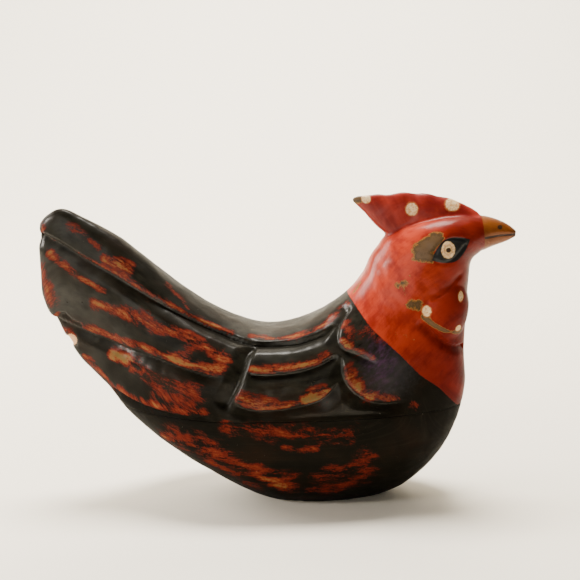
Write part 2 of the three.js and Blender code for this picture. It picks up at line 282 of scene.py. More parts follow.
def on_skin(line, skin):
    """The part of a side-view line that lies on the right-hand skin, with the skin's normals."""
    evened, toward_viewer = 4, Vector((0, -0.5, 0))
    found = []
    for x, z in line:
        spot, normal, _, _ = skin.ray_cast(Vector((x, -length, z)), Vector((0, 1, 0)))
        if spot:
            toward = normal if normal.y < 0 else -normal
            found.append((*spot, *(toward + toward_viewer).normalized()))
    found = np.array(found)
    ends = np.concatenate([found[:1].repeat(evened, 0), found, found[-1:].repeat(evened, 0)])
    window = 2 * evened + 1
    found = sum(ends[k : k + len(found)] for k in range(window)) / window
    return found[:, :3], unit(found[:, 3:])


def close_to(spots, here, reach):
    """Which points lie in the box around a line of spots."""
    inside = (here > spots.min(0) - reach) & (here < spots.max(0) + reach)
    return np.where(inside.all(1))[0]


skin_tree = BVHTree.FromPolygons(body_skin[0].tolist(), body_skin[1])
place = coordinates(bird)
outward = normals_of(bird)
cut = np.zeros(len(place))
far_off = 20 * MM
lip = np.full(len(place), far_off)
pairs_at_once = 2000000
for line, (points, depth, slope, fade_in, fade_out) in carved_lines.items():
    spots, normal = on_skin(smooth_line(points), skin_tree)
    along = unit(np.gradient(spots, axis=0))
    left = unit(np.cross(normal, along))
    share = np.linspace(0, 1, len(spots))
    fade = np.minimum(1, share / fade_in if fade_in else 1)
    fade = np.minimum(fade, (1 - share) / fade_out if fade_out else 1)
    fade = fade * fade * (3 - 2 * fade)
    reach = slope * MM + max(worn_round.values())
    for side in (1, -1):
        here = place * (1, side, 1)
        near = close_to(spots, here, reach)
        for part in np.array_split(near, len(near) * len(spots) // pairs_at_once + 1):
            gap = ((here[part, None, :] - spots[None]) ** 2).sum(-1)
            best = gap.argmin(1)
            aside = here[part] - spots[best]
            across = (aside * left[best]).sum(1)
            above = across > 0
            beyond_end = np.abs((aside * along[best]).sum(1))
            on_line = np.clip(1 - np.maximum(beyond_end - past_end, 0) / end_fade, 0, 1)
            wide = np.where(above, worn_round.get(line, steep_side), slope * MM)
            rise = np.clip(1 - np.abs(across) / wide, 0, 1)
            profile = np.where(above, rise**1.2, rise**1.3)
            cut[part] = np.maximum(cut[part], depth * MM * fade[best] * profile * on_line)
            if depth > deep_cut:
                raised = above & (on_line > 0.5)
                from_cut = np.sqrt(gap[np.arange(len(part)), best])
                lip[part[raised]] = np.minimum(lip[part[raised]], from_cut[raised])

# Hand work. The knife leaves the skin slightly uneven, the comb is nicked in low scallops along its
# top, the seam's edges are worn, and a few splinters have broken off the end of the tail.
knife_marks, edge_wear = 0.35 * MM, 0.35 * MM
scallop_depth, scallop_step = 0.7 * MM, 0.052
comb_back, comb_edge, beak_from = 0.15, 0.632, 0.43
chips = [
    # x, z in shares, radius and depth in mm; the first shows bare wood
    (-0.436, 0.343, 4.6, 1.0),
    (-0.320, 0.319, 4.6, 0.4),
    (-0.497, 0.575, 3.0, 0.8),
]
chipped_up_to = 3 * MM


def gradual(value, start, width):
    """0 up to the start, then evenly up to 1; with a negative width it falls to 0 at the start."""
    return np.clip((value - start) / width, 0, 1)


def from_chip(x, z):
    """How far each point of the skin is from a chip, seen from the side."""
    return np.hypot(place[:, 0] - x * length, place[:, 2] - z * length)


uneven = np.clip([
    noise.noise(Vector(p) / (14 * MM)) + 0.5 * noise.noise(Vector(p) / (5 * MM) + Vector((7, 3, 1)))
    for p in place
], -1, 1)
knifed = knife_marks * np.clip(uneven + 0.3, 0, 1) * (place[:, 0] < beak_from * length)
chip = np.zeros(len(place))
for x, z, radius, depth in chips:
    broken = gradual(from_chip(x, z) * (1 + 0.5 * uneven), radius * MM, -0.8 * MM)
    chip = np.maximum(chip, broken * (place[:, 1] < chipped_up_to) * depth * MM)
from_seam = np.abs(place[:, 2] - seam_z)
seam_wear = edge_wear * np.clip(1 - from_seam / (1.0 * MM), 0, 1) ** 2
comb_top = gradual(place[:, 2] / length, comb_edge, 0.018) * (place[:, 0] > comb_back * length)
wave = 0.5 - 0.5 * np.cos(place[:, 0] / length * 2 * math.pi / scallop_step)
scallop = scallop_depth * comb_top * wave
place -= outward * (cut + knifed + chip + seam_wear + scallop)[:, None]
sanded = 0.998
place[:, 1] *= sanded
place[:, 2] = np.maximum(place[:, 2], 0)
bird.vertices.foreach_set("co", place.astype(np.float32).ravel())
bird.update()
bird = with_modifiers(bird, [("SMOOTH", {"factor": 0.5, "iterations": 1})])

# How the grain, the brush and the rubbing run: for each point of the skin its distance along the
# body and across it, so that streaks follow the tail down, run level along the hull and turn up
# into the neck.
ring_points = body_skin[0].reshape(body_rings, body_around, 3)
ring_step = np.linalg.norm(np.diff(ring_points.mean(1), axis=0), axis=1)
along_of = np.cumsum(np.concatenate([[0], ring_step]))[:, None].repeat(body_around, 1)
round_step = np.linalg.norm(np.diff(ring_points, axis=1, append=ring_points[:, :1]), axis=2)
across_of = np.cumsum(round_step, axis=1) - round_step / 2
half = body_around // 2
across_of[:, half:] = across_of[:, -1:] - across_of[:, half:]
ring_way = np.gradient(ring_points, axis=0)
round_way = (np.roll(ring_points, -1, axis=1) - np.roll(ring_points, 1, axis=1)) / 2
ring_size = (ring_way**2).sum(2, keepdims=True)
round_size = (round_way**2).sum(2, keepdims=True)
shared = (ring_way * round_way).sum(2, keepdims=True)
area = np.maximum(ring_size * round_size - shared**2, 1e-18)
by_ring = (ring_way * round_size - round_way * shared) / area
by_round = (round_way * ring_size - ring_way * shared) / area
along_gain = np.gradient(along_of, axis=0)[..., None] * by_ring
across_gain = (np.gradient(across_of, axis=0)[..., None] * by_ring
               + np.gradient(across_of, axis=1)[..., None] * by_round)


def finder(points):
    """Finds the nearest of the points."""
    tree = KDTree(len(points))
    for i, point in enumerate(points):
        tree.insert(point, i)
    tree.balance()
    return tree


body_finder = finder(body_skin[0])
place = coordinates(bird)
near = np.array([body_finder.find(point)[1] for point in place])
step = place - body_skin[0][near]
lay = np.stack([
    along_of.ravel()[near] + (step * along_gain.reshape(-1, 3)[near]).sum(1),
    across_of.ravel()[near] + (step * across_gain.reshape(-1, 3)[near]).sum(1),
    np.where(place[:, 1] > 0, 0.5, 0.0) * MM,
], -1) / MM
level = np.stack([place[:, 0] + 0.5 * length, 0.45 * length - place[:, 2], lay[:, 2] * MM], -1) / MM
by_body = gradual(place[:, 2] / length, 0.14, 0.12)[:, None]
lay = level + (lay - level) * by_body

# The wear. The black coat lies over red, orange and ochre ground coats on the wood. It is rubbed
# through in strokes along the feathers' raised edges: points, half width in mm, and how far down.
# Hands have polished it too, most on the wings, hardly under the head; the same field lays a painted
# sheen.
rubbed_strokes = [
    ([(-0.487, 0.592), (-0.489, 0.572)], 1.8, 1.7),
    ([(-0.434, 0.588), (-0.392, 0.564), (-0.365, 0.539)], 1.9, 1.6),
    ([(-0.232, 0.470), (-0.205, 0.445), (-0.180, 0.418)], 1.5, 1.3),
    ([(-0.412, 0.314), (-0.362, 0.266), (-0.335, 0.241)], 1.9, 1.7),
    ([(-0.357, 0.523), (-0.328, 0.513), (-0.303, 0.499)], 2.6, 2.6),
    ([(-0.471, 0.556), (-0.407, 0.527), (-0.344, 0.497), (-0.29, 0.466), (-0.24, 0.438),
      (-0.172, 0.407), (-0.09, 0.373)], 1.7, 1.8),
    ([(-0.056, 0.366), (0, 0.36), (0.053, 0.37), (0.103, 0.392), (0.147, 0.427)], 2.2, 1.9),
    ([(-0.477, 0.531), (-0.445, 0.505), (-0.403, 0.476), (-0.351, 0.453)], 1.9, 1.9),
    ([(-0.385, 0.43), (-0.345, 0.42), (-0.295, 0.406), (-0.238, 0.387), (-0.197, 0.378)], 3.0, 1.8),
    ([(-0.19, 0.376), (-0.141, 0.354), (-0.102, 0.325)], 3.4, 1.6),
    ([(-0.498, 0.5), (-0.488, 0.464), (-0.473, 0.42)], 3.2, 1.6),
    ([(-0.469, 0.397), (-0.397, 0.376), (-0.324, 0.355), (-0.266, 0.344), (-0.217, 0.334),
      (-0.154, 0.315), (-0.108, 0.307)], 1.8, 2.1),
    ([(-0.23, 0.336), (-0.16, 0.318), (-0.112, 0.31)], 2.8, 2.4),
    ([(-0.462, 0.366), (-0.426, 0.362)], 2.4, 2.0),
    ([(-0.345, 0.322), (-0.318, 0.319), (-0.294, 0.322)], 4.0, 4.0),
    ([(-0.304, 0.302), (-0.275, 0.293)], 2.2, 2.0),
    ([(-0.27, 0.285), (-0.234, 0.272), (-0.195, 0.274), (-0.16, 0.268)], 5.0, 1.02),
    ([(-0.255, 0.256), (-0.213, 0.25), (-0.165, 0.246)], 4.5, 1.02),
    ([(-0.335, 0.25), (-0.307, 0.236), (-0.233, 0.229), (-0.14, 0.227)], 2.6, 1.6),
    ([(-0.054, 0.312), (0.006, 0.312), (0.067, 0.322), (0.107, 0.335)], 2.4, 2.2),
    ([(-0.078, 0.262), (-0.044, 0.245), (0.007, 0.242), (0.053, 0.246), (0.107, 0.268)], 3.4, 2.2),
    ([(0.05, 0.25), (0.08, 0.258), (0.105, 0.27)], 3.3, 3.5),
    ([(0.13, 0.362), (0.146, 0.351)], 3.0, 3.1),
    ([(0.15, 0.345), (0.172, 0.337), (0.195, 0.325)], 2.6, 1.7),
    ([(0.132, 0.405), (0.143, 0.387), (0.149, 0.369)], 3.0, 1.2),
    ([(0.183, 0.384), (0.224, 0.363)], 5.0, 1.0),
    ([(0.14, 0.305), (0.15, 0.287), (0.164, 0.279)], 3.6, 2.0),
    ([(0.162, 0.275), (0.174, 0.259), (0.191, 0.247)], 3.2, 3.4),
    ([(0.185, 0.264), (0.22, 0.25), (0.247, 0.243)], 2.8, 1.6),
    ([(0.277, 0.233), (0.29, 0.222)], 1.8, 1.5),
    ([(-0.1, 0.195), (-0.034, 0.189), (0.053, 0.181), (0.155, 0.178)], 4.4, 1.08),
    ([(0.012, 0.156), (0.047, 0.148), (0.088, 0.15)], 1.8, 1.4),
    ([(-0.228, 0.16), (-0.143, 0.142), (-0.095, 0.12), (-0.049, 0.099), (0.027, 0.063)], 6.5, 1.15),
    ([(-0.17, 0.13), (-0.1, 0.09), (-0.05, 0.055)], 5.0, 0.95),
    ([(-0.238, 0.16), (-0.212, 0.155)], 2.2, 2.8),
    ([(-0.031, 0.079), (-0.004, 0.062), (0.027, 0.052)], 3.2, 2.0),
    ([(0.082, 0.078), (0.14, 0.1), (0.185, 0.128)], 6.0, 0.9),
    ([(0.06, 0.04), (0.13, 0.05), (0.19, 0.085)], 6.0, 0.85),
]


def from_line(points, flat):
    """Distance in mm of side-view places from a line of points given in shares of the length."""
    points = np.array(points) * length
    best = np.full(len(flat), np.inf)
    for a, b in zip(points[:-1], points[1:]):
        way = b - a
        share = np.clip(((flat - a) @ way) / (way @ way), 0, 1)
        best = np.minimum(best, np.hypot(*(flat - a - share[:, None] * way).T))
    return best / MM


flat = place[:, [0, 2]]
carved_tree = BVHTree.FromPolygons(place.tolist(), [tuple(face.vertices) for face in bird.polygons])


def rubbing(strokes, start):
    """How far down each point of the skin is rubbed, by strokes on both sides of the bird."""
    spread, full, stroke_step = 2.15, 1.3, 1.2 * MM
    field = start.copy()
    for points, half_width, level in strokes:
        spots, _ = on_skin(smooth_line(points, stroke_step), carved_tree)
        reach = spread * half_width * MM
        for side in (1, -1):
            here = place * (1, side, 1)
            near = close_to(spots, here, reach)
            gap = np.full(len(near), np.inf)
            for spot in spots:
                gap = np.minimum(gap, ((here[near] - spot) ** 2).sum(1))
            nearness = np.clip(1 - np.sqrt(gap) / reach / (0.95 + 0.6 * uneven[near]), 0, 1)
            field[near] = np.maximum(field[near], level * full * nearness**1.1)
    return field * (1 - np.clip(cut / MM - 0.5, 0, 0.8))


rub = rubbing(rubbed_strokes, 0.3 * np.clip(1 - lip / (2.5 * MM), 0, 1))
x_share, z_share = flat.T / length
on_wing = gradual(x_share, -0.13, 0.06) * gradual(x_share, 0.26, -0.08)
on_wing *= gradual(z_share, 0.20, 0.05)
polish_and_sheen = np.minimum(gradual(z_share, 0.22, 0.26), 0.8) + 0.8 * on_wing
under_head = gradual(x_share, 0.23, 0.08) * gradual(z_share, 0.50, -0.08)
polish_and_sheen *= (1 - 0.9 * under_head) * (0.8 + 0.5 * uneven)
# Less on faces that look up; the field also sets the painted sheen, a grey veil standing for reflected
# light.
facing_up = np.clip(normals_of(bird)[:, 2] * 1.5 - 0.3, 0, 1)
polish_and_sheen = np.clip(polish_and_sheen * (1 - 0.75 * facing_up), 0.02, 1)
x, z, radius, _ = chips[0]
chip = np.clip(1.3 - from_chip(x, z) / (radius * MM), 0, 1) * (place[:, 1] < chipped_up_to)

# The two finishes that lid and hull share. Outside, lacquer, black and brushed on in flat runs; where
# it is rubbed, the coats below show as dark red, red, orange and ochre, and light wood where a chip
# is lost. Inside, bare wood as the gouge left it.


def node(tree, kind, sockets=(), **settings):
    """A shader node, its sockets linked to other sockets or set to plain values."""
    made = tree.nodes.new("ShaderNode" + kind)
    for key, value in settings.items():
        setattr(made, key, value)
    for key, value in dict(sockets).items():
        if isinstance(value, bpy.types.NodeSocket):
            tree.links.new(value, made.inputs[key])
        else:
            made.inputs[key].default_value = value
    return made


def arith(operation, *values, clamp=False):
    """A step of arithmetic, in the tree that its values come from."""
    tree = next(value.id_data for value in values if isinstance(value, bpy.types.NodeSocket))
    made = node(tree, "Math", enumerate(values), operation=operation, use_clamp=clamp)
    return made.outputs[0]


def plus(a, b, clamp=False):
    return arith("ADD", a, b, clamp=clamp)


def less(a, b, clamp=False):
    return arith("SUBTRACT", a, b, clamp=clamp)


def times(a, b):
    return arith("MULTIPLY", a, b)


def swing(value, size):
    """A grain's value about its middle, made larger or smaller."""
    return times(less(value, 0.5), size)


def ease(value, low, high):
    """0 below low, 1 above high, smooth between."""
    return node(value.id_data, "MapRange", {0: value, 1: low, 2: high},
                interpolation_type="SMOOTHSTEP").outputs[0]


def blend(share, a, b):
    return node(share.id_data, "Mix", {0: share, 6: a, 7: b}, data_type="RGBA").outputs[2]


def stretched(vector, scale, shift=(0, 0, 0)):
    return node(vector.id_data, "Mapping", {0: vector, 1: shift, 3: scale}).outputs[0]


def grain(vector, scale, detail=4.0, rough=0.6, shift=(0, 0, 0)):
    """Noise, drawn out by its scale along, across and through the skin."""
    return node(vector.id_data, "TexNoise", {
        "Vector": stretched(vector, scale, shift), "Scale": 1.0, "Detail": detail,
        "Roughness": rough}).outputs[0]


def ramp(value, stops):
    made = node(value.id_data, "ValToRGB", {0: value})
    elements = made.color_ramp.elements
    while len(elements) < len(stops):
        elements.new(0.5)
    for element, (position, colour) in zip(elements, stops):
        element.position = position
        element.color = (*colour, 1)
    return made.outputs[0]


def group(name, takes, gives):
    """A shared effect: its tree, what it is given and what it puts out."""
    tree = bpy.data.node_groups.new(name, "ShaderNodeTree")
    for way, sockets in (("INPUT", takes), ("OUTPUT", gives)):
        for socket, kind in sockets.items():
            tree.interface.new_socket(socket, in_out=way, socket_type="NodeSocket" + kind)
    return tree, tree.nodes.new("NodeGroupInput").outputs, tree.nodes.new("NodeGroupOutput").inputs


def give(result, values):
    """Puts a group's values out."""
    for key, value in values.items():
        value.id_data.links.new(value, result[key])


lacquer, given, result = group(
    "layered lacquer",
    {"Rub": "Float", "Lay": "Vector", "Chip": "Float", "Polish and sheen": "Float"},
    {"Colour": "Color", "Roughness": "Float", "Height": "Float", "Coat": "Float"},
)
lay_in, polish_and_sheen_in = given["Lay"], given["Polish and sheen"]
streak = grain(lay_in, (0.05, 0.5, 7.0), 5.0, 0.62)
patch = grain(lay_in, (0.075, 0.18, 6.0), 4.0, 0.6, (17, 3, 0))
fleck = grain(lay_in, (0.5, 1.1, 9.0), 6.0, 0.75, (31, 5, 0))
mottle = plus(plus(swing(streak, 3.0), swing(patch, 5.6)), swing(fleck, 4.8))
mottle = times(mottle, plus(0.24, times(given["Rub"], 0.40)))
worn = plus(times(given["Rub"], 0.62), mottle)
ground_coats = ramp(arith("DIVIDE", worn, 4.0, clamp=True), [
    (0.06, (0.010, 0.0045, 0.0028)),
    (0.15, (0.034, 0.0055, 0.003)),
    (0.20, (0.075, 0.008, 0.004)),
    (0.28, (0.092, 0.012, 0.006)),
    (0.40, (0.128, 0.027, 0.011)),
    (0.52, (0.155, 0.056, 0.018)),
    (0.62, (0.145, 0.073, 0.020)),
    (0.74, (0.110, 0.068, 0.022)),
])
black_coat = ramp(grain(lay_in, (0.02, 0.05, 5.0), 3.0, 0.5, (3, 9, 0)), [
    (0.3, (0.0022, 0.0020, 0.0014)),
    (0.5, (0.0036, 0.0030, 0.0018)),
    (0.7, (0.0085, 0.0042, 0.0020)),
])
brush_mark, painted_sheen = (0.012, 0.010, 0.006, 1), (0.021, 0.020, 0.014, 1)
dust = (0.26, 0.24, 0.19, 1)
brushed = grain(lay_in, (0.03, 1.6, 3.0), 3.0, 0.5, (0, 40, 0))
black_coat = blend(times(ease(brushed, 0.5, 0.75), 0.35), black_coat, brush_mark)
# Painted sheen: where polished, a grey veil goes into the black in place of reflected light.
painted_sheen_share = times(polish_and_sheen_in, ease(patch, 0.30, 0.62))
black_coat = blend(times(painted_sheen_share, 0.7), black_coat, painted_sheen)
thin_black = ease(worn, 0.22, 0.62)
bare_of_black = ease(worn, 0.62, 0.86)
colour = blend(thin_black, black_coat, ground_coats)
dusty = ease(grain(lay_in, (1.3, 1.3, 9.0), 2.0, 0.5, (3, 3, 0)), 0.745, 0.79)
colour = blend(times(dusty, 0.5), colour, dust)
ragged = swing(grain(lay_in, (0.6, 0.9, 9.0), 3.0), 0.6)
bare_wood = ease(plus(given["Chip"], ragged), 0.4, 0.5)
pores = grain(lay_in, (0.12, 2.2, 9.0), 5.0)
wood = ramp(pores, [(0.3, (0.36, 0.17, 0.07)), (0.7, (0.62, 0.38, 0.21))])
dulled = plus(plus(0.22, times(fleck, 0.34)), times(bare_of_black, 0.14))
dulled = plus(dulled, less(0.2, times(polish_and_sheen_in, 0.2)))
step_down = less(times(bare_of_black, -0.10), times(bare_wood, 0.25))
give(result, {
    "Colour": blend(bare_wood, colour, wood),
    "Roughness": plus(dulled, times(bare_wood, 0.25), clamp=True),
    "Height": plus(step_down, plus(times(brushed, 0.05), times(fleck, 0.05))),
    "Coat": times(polish_and_sheen_in, less(0.55, times(bare_of_black, 0.35))),
})

gouged, given, result = group(
    "hollowed wood",
    {"Place": "Vector"},
    {"Colour": "Color", "Roughness": "Float", "Height": "Float"},
)
year_rings = grain(given["Place"], (12, 160, 160), 4.0)
gouge_marks = node(gouged, "TexVoronoi", {
    "Vector": stretched(given["Place"], (90, 150, 150)), "Scale": 1.0}, feature="SMOOTH_F1").outputs[0]
give(result, {
    "Colour": ramp(year_rings, [(0.3, (0.09, 0.04, 0.018)), (0.7, (0.2, 0.105, 0.05))]),
    "Roughness": plus(0.6, times(year_rings, 0.25)),
    "Height": plus(gouge_marks, times(year_rings, 0.3)),
})


def use(tree, shared, sockets):
    return node(tree, "Group", sockets, node_tree=shared).outputs


def own(tree, name, kind="Fac"):
    """A field that the piece's mesh carries."""
    return node(tree, "Attribute", attribute_name=name, attribute_type="GEOMETRY").outputs[kind]


def new_material(name):
    material = bpy.data.materials.new(name)
    material.use_nodes = True
    material.node_tree.nodes.clear()
    return material, material.node_tree


def finish_material(tree, colour, roughness, height, depth, coat=0.0):
    bump = node(tree, "Bump", {"Height": height, "Distance": depth, "Strength": 1.0}).outputs[0]
    shader = node(tree, "BsdfPrincipled", {
        "Base Color": colour, "Roughness": roughness, "Normal": bump, "Specular IOR Level": 0.03,
        "Coat Weight": coat, "Coat Roughness": 0.24, "Specular Tint": (1.0, 0.93, 0.82, 1)})
    node(tree, "OutputMaterial", {0: shader.outputs[0]})


def lacquered(tree):
    """The lacquer, worn as the fields of the piece say."""
    return use(tree, lacquer, {"Rub": own(tree, "rub"), "Lay": own(tree, "lay", "Vector"),
                               "Chip": own(tree, "chip"), "Polish and sheen": own(tree, "polish_and_sheen")})


hollow_wood, tree = new_material("hollowed wood")
gouge_relief = 0.4 * MM
parts = use(tree, gouged, {"Place": node(tree, "TexCoord").outputs["Object"]})
finish_material(tree, parts["Colour"], parts["Roughness"], parts["Height"], gouge_relief)

# How a piece is cut from the carved block. The hollow follows the block's outline at the seam and
# its keel, both moved in by the wall, so the walls are even all round.
hollow_full = 0.85


def moved_in(row, wall):
    way = unit(np.gradient(row, axis=0))
    return row + wall * np.stack([way[:, 1], -way[:, 0]], -1)


def inside_of(wall):
    """Along the body: places, half width at the seam and height of the bottom, inside the wall."""
    looked_at, kept = 240, 40
    plan, keel = [], []
    for x in np.linspace(-0.5, 0.5, looked_at) * length:
        side = skin_tree.ray_cast(Vector((x, -length, seam_z)), Vector((0, 1, 0)))[0]
        under = skin_tree.ray_cast(Vector((x, 0.01 * MM, -length)), Vector((0, 0, 1)))[0]
        if side and side.y < 0 and under and under.z < seam_z:
            plan.append((x, -side.y))
            keel.append((x, max(under.z, 0)))
    plan = moved_in(np.array(plan), wall)
    keel = moved_in(np.array(keel), -wall)
    plan, keel = plan[plan[:, 1] > 0], keel[keel[:, 1] < seam_z]
    low, high = max(plan[0, 0], keel[0, 0]), min(plan[-1, 0], keel[-1, 0])
    x = (low + high) / 2 - (high - low) / 2 * np.cos(np.linspace(0, np.pi, kept))
    wide = np.maximum(np.interp(x, plan[:, 0], plan[:, 1]), MM)
    bottom = np.minimum(np.interp(x, keel[:, 0], keel[:, 1]), seam_z - MM)
    return x, wide, bottom


def hollow(x, wide, height, power, past):
    """What the gouge takes out, from the height to a little past the seam."""
    steps = 25
    angle = np.linspace(0, np.pi, steps)
    away = np.sign(seam_z - height[0])
    out = -np.sign(np.cos(angle)) * np.abs(np.cos(angle)) ** power
    share = np.abs(np.sin(angle)) ** power
    rim = np.stack([wide, -wide], 1)
    y = np.concatenate([wide[:, None] * out, rim], 1)
    z = seam_z + (height - seam_z)[:, None] * share
    z = np.concatenate([z, np.full_like(rim, seam_z + away * past)], 1)
    return loft(np.stack([x[:, None].repeat(y.shape[1], 1), y, z], -1))


def slab(low, high):
    """A level slab, larger than the bird, between two heights."""
    ends = (-length, length)
    points = np.array([(x, y, z) for z in (low, high) for y in ends for x in ends])
    faces = [(0, 1, 3, 2), (4, 6, 7, 5), (0, 4, 5, 1), (2, 3, 7, 6), (0, 2, 6, 4), (1, 5, 7, 3)]
    return points, faces


def shaped(start, steps):
    """A block after a row of cuts and joins with other shapes."""
    tools, modifiers = [], []
    for operation, shape in steps:
        tools.append(placed("tool", mesh_from([shape]) if isinstance(shape, tuple) else shape))
        settings = {"operation": operation, "object": tools[-1], "solver": "MANIFOLD"}
        modifiers.append(("BOOLEAN", settings))
    made = with_modifiers(start.copy(), modifiers)
    for tool in tools:
        bpy.data.objects.remove(tool)
    return made


skin_finder = finder(place)


def dress(name, mesh, material):
    """Gives a piece its two finishes, its fields and its place in the scene."""
    skin_within, rim_face, rim_edge = 0.3 * MM, 0.8 * MM, 0.5 * MM
    sharp = math.radians(35)
    found = [skin_finder.find(point) for point in coordinates(mesh)]
    index = np.array([item[1] for item in found])
    outer = np.array([item[2] for item in found]) < skin_within
    for field, values in skin_fields.items():
        data = mesh.attributes.new(field, "FLOAT", "POINT").data
        data.foreach_set("value", values[index].astype(np.float32))
    data = mesh.attributes.new("lay", "FLOAT_VECTOR", "POINT").data
    data.foreach_set("vector", lay[index].astype(np.float32).ravel())
    mesh.materials.clear()
    mesh.materials.append(material)
    mesh.materials.append(hollow_wood)
    for face in mesh.polygons:
        on_rim = abs(face.center.z - seam_z) < rim_face
        face.material_index = 0 if on_rim or all(outer[v] for v in face.vertices) else 1
        face.use_smooth = True
    work = bmesh.new()
    work.from_mesh(mesh)
    for edge in work.edges:
        at_rim = all(abs(v.co.z - seam_z) < rim_edge for v in edge.verts)
        if at_rim or any(face.material_index for face in edge.link_faces):
            edge.smooth = edge.calc_face_angle(0) < sharp
    work.to_mesh(mesh)
    work.free()
    return placed(name, mesh)


# The paint of the head, in the same side view. The lacquer ends on one slanting line over the
# shoulder and the breast, the comb's cooler red on the line of its root; the strokes are the places
# where the red has been knocked or rubbed off.
paint_edge = np.array([(0.40, 0.19), (0.383, 0.206), (0.337, 0.257), (0.293, 0.290), (0.251, 0.334),
                       (0.190, 0.390), (0.155, 0.436), (0.140, 0.452), (0.120, 0.47)]) * length
comb_line = np.array([(0.1, 0.515), (0.2, 0.546), (0.230, 0.563), (0.254, 0.578), (0.295, 0.595),
                      (0.336, 0.607), (0.378, 0.609), (0.415, 0.603), (0.45, 0.61)]) * length
head_scuffs = [
    ([(0.288, 0.540), (0.302, 0.553), (0.330, 0.566)], 3.6, 3.2),
    ([(0.285, 0.530), (0.300, 0.533), (0.315, 0.528)], 2.8, 2.6),
    ([(0.245, 0.471), (0.259, 0.479)], 2.2, 1.5),
    ([(0.271, 0.436), (0.287, 0.432)], 2.6, 2.2),
    ([(0.156, 0.445), (0.175, 0.47)], 1.6, 1.5),
    ([(0.296, 0.413), (0.321, 0.393), (0.352, 0.378), (0.385, 0.372)], 1.3, 3.3),
    ([(0.26, 0.45), (0.272, 0.5)], 4.0, 0.6),
    ([(0.24, 0.38), (0.29, 0.36)], 5.0, 0.6),
    ([(0.152, 0.64), (0.170, 0.645)], 2.6, 3.2),
    ([(0.42, 0.56), (0.44, 0.55)], 2.0, 0.8),
]
red = (flat[:, 0] - np.interp(flat[:, 1], paint_edge[:, 1], paint_edge[:, 0])) * 0.7 / MM
comb = (flat[:, 1] - np.interp(flat[:, 0], comb_line[:, 0], comb_line[:, 1])) / MM
scuff = rubbing(head_scuffs, np.zeros(len(place)))
mouth = from_line([(0.428, 0.563), (0.461, 0.567), (0.51, 0.567)], flat)
skin_fields = {"rub": rub, "chip": chip, "polish_and_sheen": polish_and_sheen, "red": red, "comb": comb,
               "scuff": scuff, "mouth": mouth}

# The hull. The lower part of the block, hollowed from above with a gouge, its rim flat; the keel is
# flattened where the box stands.
hull_wall = 9 * MM
above_rim = 4 * MM
skin_relief = 1.0 * MM
hull = shaped(bird, [
    ("INTERSECT", slab(-length, seam_z)),
    ("DIFFERENCE", hollow(*inside_of(hull_wall), hollow_full, above_rim)),
])
hull_coat, tree = new_material("rubbed lacquer of the hull")
parts = lacquered(tree)
finish_material(tree, parts["Colour"], parts["Roughness"], parts["Height"], skin_relief, parts["Coat"])
hull = dress("carved_hull", hull, hull_coat)
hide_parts("base")
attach(hull, "root")

# The lid. The upper part of the block with back, tail, neck and head, hollowed from below, with a
# low lip that drops into the mouth of the hull and keeps it in place. Nothing else holds it.
seam_gap = 0.3 * MM
lip_clearance = 0.6 * MM
lip_width = 4 * MM
lip_height = 4 * MM
dome_height = 36 * MM
past = MM
x, wide, bottom = inside_of(hull_wall + lip_clearance)
lip_ring = shaped(mesh_from([hollow(x, wide, bottom, hollow_full, lip_height)]), [
    ("INTERSECT", slab(seam_z - lip_height, seam_z + seam_gap + past)),
])
x, wide, _ = inside_of(hull_wall + lip_clearance + lip_width)
share = np.clip(np.abs(2 * x - x[0] - x[-1]) / (x[-1] - x[0]), 0, 1)
arch = seam_z + np.maximum(dome_height * np.sqrt(1 - share**2.6), MM)
lid = shaped(bird, [
    ("INTERSECT", slab(seam_z + seam_gap, 2 * length)),
    ("UNION", lip_ring),
    ("DIFFERENCE", hollow(x, wide, arch, 1.0, lip_height + past)),
])

# The head's paint is matt and brushed by hand in two tones; where it is scuffed a rim of red and ochre
# runs round the brown wood. Dots and eye are dabbed on with a small round brush.
brushed_paint, given, result = group(
    "brushed paint",
    {"Colour": "Color", "Shade": "Color", "Scuff": "Float", "Lay": "Vector"},
    {"Colour": "Color", "Roughness": "Float", "Height": "Float"},
)
lay_in, scuff_in = given["Lay"], given["Scuff"]
cloud = grain(lay_in, (0.06, 0.07, 3.0), 4.0, 0.6)
strokes = grain(lay_in, (0.06, 0.7, 3.0), 4.0, 0.6, (5, 2, 0))
speck = grain(lay_in, (0.9, 0.9, 5.0), 5.0, 0.7, (11, 7, 0))
patch = grain(lay_in, (0.22, 0.22, 5.0), 5.0, 0.65, (2, 8, 0))
tone = plus(times(cloud, 0.8), times(strokes, 0.2))
colour = blend(ease(tone, 0.34, 0.62), given["Shade"], given["Colour"])
ragged = less(plus(times(speck, 2.2), times(patch, 3.6)), 2.9)
worn = plus(scuff_in, times(plus(times(scuff_in, 0.45), 0.4), ragged))
under = ramp(arith("DIVIDE", worn, 4.0, clamp=True), [
    (0.20, (0.17, 0.024, 0.008)),
    (0.28, (0.30, 0.10, 0.026)),
    (0.36, (0.12, 0.068, 0.018)),
    (0.46, (0.052, 0.031, 0.015)),
    (0.70, (0.085, 0.050, 0.025)),
])
bared = ease(worn, 0.85, 1.15)
fine = plus(times(strokes, 0.12), times(speck, 0.06))
give(result, {
    "Colour": blend(bared, colour, under),
    "Roughness": plus(plus(0.34, times(speck, 0.22)), times(bared, 0.15), clamp=True),
    "Height": plus(times(bared, -0.16), fine),
})

dabbed_oval, given, result = group(
    "dabbed oval",
    {"Place": "Vector", "Middle": "Vector", "Size": "Vector"},
    {"Distance": "Float"},
)
aside = given["Place"]
for operation, other in [("SUBTRACT", given["Middle"]), ("DIVIDE", given["Size"]),
                         ("MULTIPLY", (1, 0, 1))]:
    aside = node(dabbed_oval, "VectorMath", {0: aside, 1: other}, operation=operation).outputs[0]
far = node(dabbed_oval, "VectorMath", {0: aside}, operation="LENGTH").outputs["Value"]
give(result, {"Distance": far})

